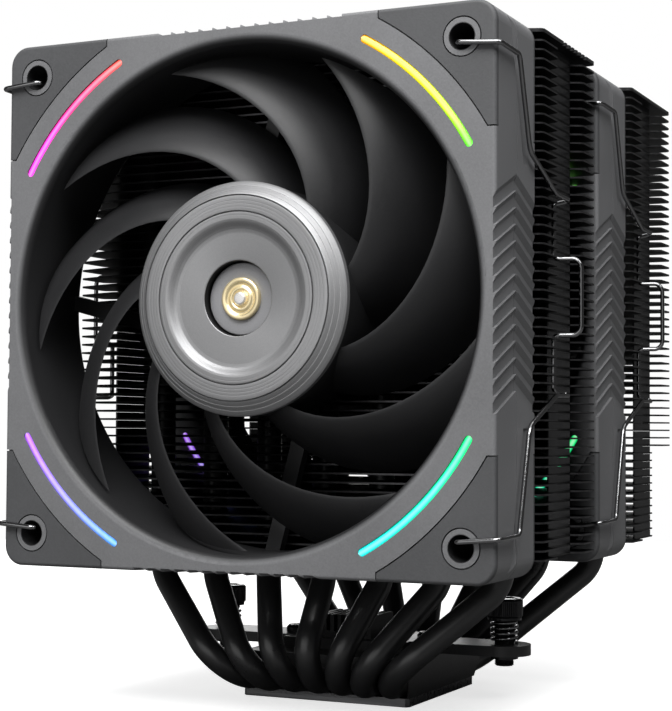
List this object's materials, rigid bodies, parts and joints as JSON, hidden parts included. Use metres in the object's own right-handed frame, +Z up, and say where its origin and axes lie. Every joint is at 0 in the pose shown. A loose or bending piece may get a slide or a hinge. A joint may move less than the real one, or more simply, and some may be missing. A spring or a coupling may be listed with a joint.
{
  "type": "cpu tower cooler",
  "caption": "Dual-tower air cooler for a desktop processor: black fin stacks on heat pipes, clipped-on fans with lit corners, and a base with a sprung-screw bar.",
  "frame": {"origin": "centre of the cold plate's contact face, which rests on the processor", "axes": "+Z up from the processor through the towers; +Y the way the air blows, from the front fan to the rear tower; +X to the right seen from the front fan"},
  "size_m": [0.1298, 0.1431, 0.155],
  "materials": {
    "fin_black": "satin black coating",
    "pipe_black": "satin black coating",
    "contact_metal": "fine ground, nickel plated",
    "bar_black": "satin black coating",
    "screw_black": "black zinc",
    "spring_wire": "bright drawn wire",
    "frame_grey": "fine matte, metallic grey",
    "pad_rubber": "matte",
    "light_guide": "frosted, lit",
    "blade_black": "satin",
    "hub_metal": "turned",
    "medallion_gold": "turned, bright",
    "rotor_steel": "plain",
    "bearing_brass": "plain",
    "coil_copper": "enamelled wire",
    "board_green": "solder mask",
    "cap_black": "plain film"
  },
  "bodies": {
    "heatsink": {"cold_plate": "contact_metal", "base_block": "pipe_black", "heat_pipe_1": "pipe_black", "heat_pipe_2": "pipe_black", "heat_pipe_3": "pipe_black", "heat_pipe_4": "pipe_black", "heat_pipe_5": "pipe_black", "heat_pipe_6": "pipe_black", "heat_pipe_7": "pipe_black", "front_fins": "fin_black", "rear_fins": "fin_black", "front_top_fin": "fin_black", "rear_top_fin": "fin_black", "mounting_bar": "bar_black", "bar_screws": "screw_black", "left_screw_spring": "spring_wire", "right_screw_spring": "spring_wire"},
    "left_screw_carriage": {"left_screw_washer": "screw_black"},
    "left_screw": {"left_spring_screw": "screw_black", "left_screw_retaining_ring": "screw_black"},
    "right_screw_carriage": {"right_screw_washer": "screw_black"},
    "right_screw": {"right_spring_screw": "screw_black", "right_screw_retaining_ring": "screw_black"},
    "front_fan": {"front_fan_frame": "frame_grey", "front_fan_front_corner_pads": "pad_rubber", "front_fan_rear_corner_pads": "pad_rubber", "front_fan_light_guides": "light_guide", "front_fan_light_boards": "board_green", "front_fan_bearing": "bearing_brass", "front_fan_stator_core": "rotor_steel", "front_fan_stator_coils": "coil_copper", "front_fan_motor_board": "board_green", "front_fan_motor_cap": "cap_black"},
    "front_rotor": {"front_fan_impeller": "blade_black", "front_fan_hub_disc": "hub_metal", "front_fan_hub_button": "hub_metal", "front_fan_hub_medallion": "medallion_gold", "front_fan_rotor_ring": "rotor_steel", "front_fan_shaft": "rotor_steel"},
    "front_left_clip": {"front_fan_left_clip": "spring_wire"},
    "front_right_clip": {"front_fan_right_clip": "spring_wire"},
    "middle_fan": {"middle_fan_frame": "frame_grey", "middle_fan_front_corner_pads": "pad_rubber", "middle_fan_rear_corner_pads": "pad_rubber", "middle_fan_light_guides": "light_guide", "middle_fan_light_boards": "board_green", "middle_fan_bearing": "bearing_brass", "middle_fan_stator_core": "rotor_steel", "middle_fan_stator_coils": "coil_copper", "middle_fan_motor_board": "board_green", "middle_fan_motor_cap": "cap_black"},
    "middle_rotor": {"middle_fan_impeller": "blade_black", "middle_fan_hub_disc": "hub_metal", "middle_fan_hub_button": "hub_metal", "middle_fan_hub_medallion": "medallion_gold", "middle_fan_rotor_ring": "rotor_steel", "middle_fan_shaft": "rotor_steel"},
    "middle_left_clip": {"middle_fan_left_clip": "spring_wire"},
    "middle_right_clip": {"middle_fan_right_clip": "spring_wire"}
  },
  "joints": [
    {"name": "left_screw_press", "type": "slide", "parent": "heatsink", "child": "left_screw_carriage", "axis": [0, 0, -1], "range_m": [0, 0.0024], "stiffness_N_per_m": 3000, "deforming": ["left_screw_spring"]},
    {"name": "left_screw_turn", "type": "hinge", "parent": "left_screw_carriage", "child": "left_screw", "pos_m": [-0.0379, 0, 0.015], "axis": [0, 0, 1], "continuous": true},
    {"name": "right_screw_press", "type": "slide", "parent": "heatsink", "child": "right_screw_carriage", "axis": [0, 0, -1], "range_m": [0, 0.0024], "stiffness_N_per_m": 3000, "deforming": ["right_screw_spring"]},
    {"name": "right_screw_turn", "type": "hinge", "parent": "right_screw_carriage", "child": "right_screw", "pos_m": [0.0379, 0, 0.015], "axis": [0, 0, 1], "continuous": true},
    {"name": "front_fan_lift", "type": "slide", "parent": "heatsink", "child": "front_fan", "axis": [0, 0, 1], "range_m": [0, 0.025]},
    {"name": "front_rotor_spin", "type": "hinge", "parent": "front_fan", "child": "front_rotor", "pos_m": [0, -0.0675, 0.0934], "axis": [0, -1, 0], "continuous": true},
    {"name": "front_left_clip_swing", "type": "hinge", "parent": "front_fan", "child": "front_left_clip", "pos_m": [-0.0516, -0.06835, 0.0934], "axis": [0, 0, 1], "range_deg": [0, 30], "stiffness_Nm_per_rad": 0.05},
    {"name": "front_right_clip_swing", "type": "hinge", "parent": "front_fan", "child": "front_right_clip", "pos_m": [0.0516, -0.06835, 0.0934], "axis": [0, 0, -1], "range_deg": [0, 30], "stiffness_Nm_per_rad": 0.05},
    {"name": "middle_fan_lift", "type": "slide", "parent": "heatsink", "child": "middle_fan", "axis": [0, 0, 1], "range_m": [0, 0.025]},
    {"name": "middle_rotor_spin", "type": "hinge", "parent": "middle_fan", "child": "middle_rotor", "pos_m": [0, 0.0044, 0.0934], "axis": [0, -1, 0], "continuous": true},
    {"name": "middle_left_clip_swing", "type": "hinge", "parent": "middle_fan", "child": "middle_left_clip", "pos_m": [-0.0516, 0.00355, 0.0934], "axis": [0, 0, 1], "range_deg": [0, 4], "stiffness_Nm_per_rad": 0.05},
    {"name": "middle_right_clip_swing", "type": "hinge", "parent": "middle_fan", "child": "middle_right_clip", "pos_m": [0.0516, 0.00355, 0.0934], "axis": [0, 0, -1], "range_deg": [0, 4], "stiffness_Nm_per_rad": 0.05}
  ]
}
